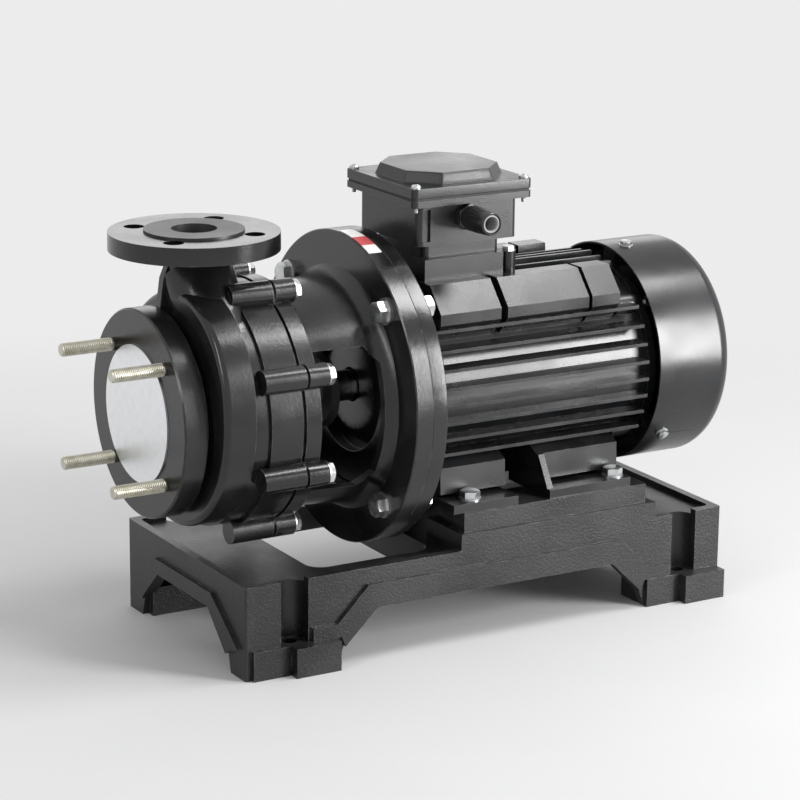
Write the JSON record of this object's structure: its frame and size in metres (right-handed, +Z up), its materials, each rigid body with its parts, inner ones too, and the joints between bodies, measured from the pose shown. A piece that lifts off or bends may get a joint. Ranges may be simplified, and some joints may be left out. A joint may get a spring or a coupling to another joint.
{
  "type": "lined centrifugal pump",
  "caption": "Close-coupled end-suction pump with lined casing, finned motor, terminal box and cast baseplate; the impeller shaft turns and the suction cover pulls off.",
  "frame": {"origin": "centre of the four foundation holes, on the floor", "axes": "+X along the shaft from the suction port to the fan, +Z up, cable gland towards -Y"},
  "size_m": [0.6142, 0.2848, 0.414],
  "materials": {
    "casting_paint": "satin black enamel on iron castings",
    "base_paint": "black enamel on rough cast iron",
    "motor_paint": "semi-gloss black enamel on aluminium",
    "cowl_paint": "semi-gloss black enamel on sheet steel",
    "fluoroplastic": "dark fluoroplastic moulding",
    "white_fluoroplastic": "white fluoroplastic",
    "zinc_steel": "zinc plated",
    "yellow_zinc": "yellow passivated zinc",
    "bright_nuts": "bright plated",
    "shaft_steel": "ground steel",
    "ceramic_ring": "lapped ceramic",
    "carbon_ring": "lapped carbon",
    "rubber_black": "moulded rubber",
    "gland_plastic": "black polyamide",
    "cover_disc": "fine satin disc",
    "label_film": "bare film label",
    "laminations": "varnished steel laminations",
    "copper_winding": "varnished copper winding",
    "board_plastic": "phenolic board",
    "brass_studs": "turned brass",
    "fan_plastic": "moulded plastic"
  },
  "bodies": {
    "pump": {"adapter_bolts": "zinc_steel", "adapter_nuts": "zinc_steel", "adapter_washers": "zinc_steel", "baseplate": "base_paint", "blanking_plug": "gland_plastic", "box_gasket": "rubber_black", "box_lid": "motor_paint", "casing_cap_nuts": "bright_nuts", "casing_lining": "fluoroplastic", "casing_studs": "zinc_steel", "casing_washers": "zinc_steel", "cowl_screws": "zinc_steel", "earth_screw": "zinc_steel", "fan_cowl": "cowl_paint", "front_bearing_outer_ring": "shaft_steel", "gland_body": "gland_plastic", "gland_nut": "gland_plastic", "gland_seal": "rubber_black", "lantern": "casting_paint", "lid_screws": "zinc_steel", "motor_flange": "casting_paint", "motor_foot_bolts": "zinc_steel", "motor_foot_washers": "zinc_steel", "motor_frame": "motor_paint", "preload_washer": "shaft_steel", "rear_bearing_outer_ring": "shaft_steel", "rear_cover": "casting_paint", "rear_cover_lining": "fluoroplastic", "rear_shield": "motor_paint", "rotation_label": "label_film", "seal_gland": "zinc_steel", "seal_gland_bolts": "zinc_steel", "seal_stationary_ring": "ceramic_ring", "shield_screws": "zinc_steel", "stator_core": "laminations", "stator_windings": "copper_winding", "suction_studs": "yellow_zinc", "terminal_board": "board_plastic", "terminal_box": "motor_paint", "terminal_studs": "brass_studs", "volute_casing": "casting_paint"},
    "rotor": {"shaft": "shaft_steel", "impeller": "fluoroplastic", "impeller_insert": "shaft_steel", "impeller_nut": "fluoroplastic", "impeller_key": "shaft_steel", "shaft_sleeve": "white_fluoroplastic", "seal_rotary_ring": "carbon_ring", "seal_bellows": "white_fluoroplastic", "seal_collar": "shaft_steel", "splash_ring": "rubber_black", "front_bearing_inner_ring": "shaft_steel", "front_bearing_balls": "bright_nuts", "rear_bearing_inner_ring": "shaft_steel", "rear_bearing_balls": "bright_nuts", "rotor_core": "laminations", "cooling_fan": "fan_plastic", "fan_circlip": "shaft_steel"},
    "suction_cover": {"suction_port_cover": "cover_disc"}
  },
  "joints": [
    {"name": "rotor_spin", "type": "hinge", "parent": "pump", "child": "rotor", "pos_m": [0, 0, 0.218], "axis": [1, 0, 0], "continuous": true},
    {"name": "suction_cover_pull", "type": "slide", "parent": "pump", "child": "suction_cover", "axis": [-1, 0, 0], "range_m": [0, 0.07]}
  ]
}
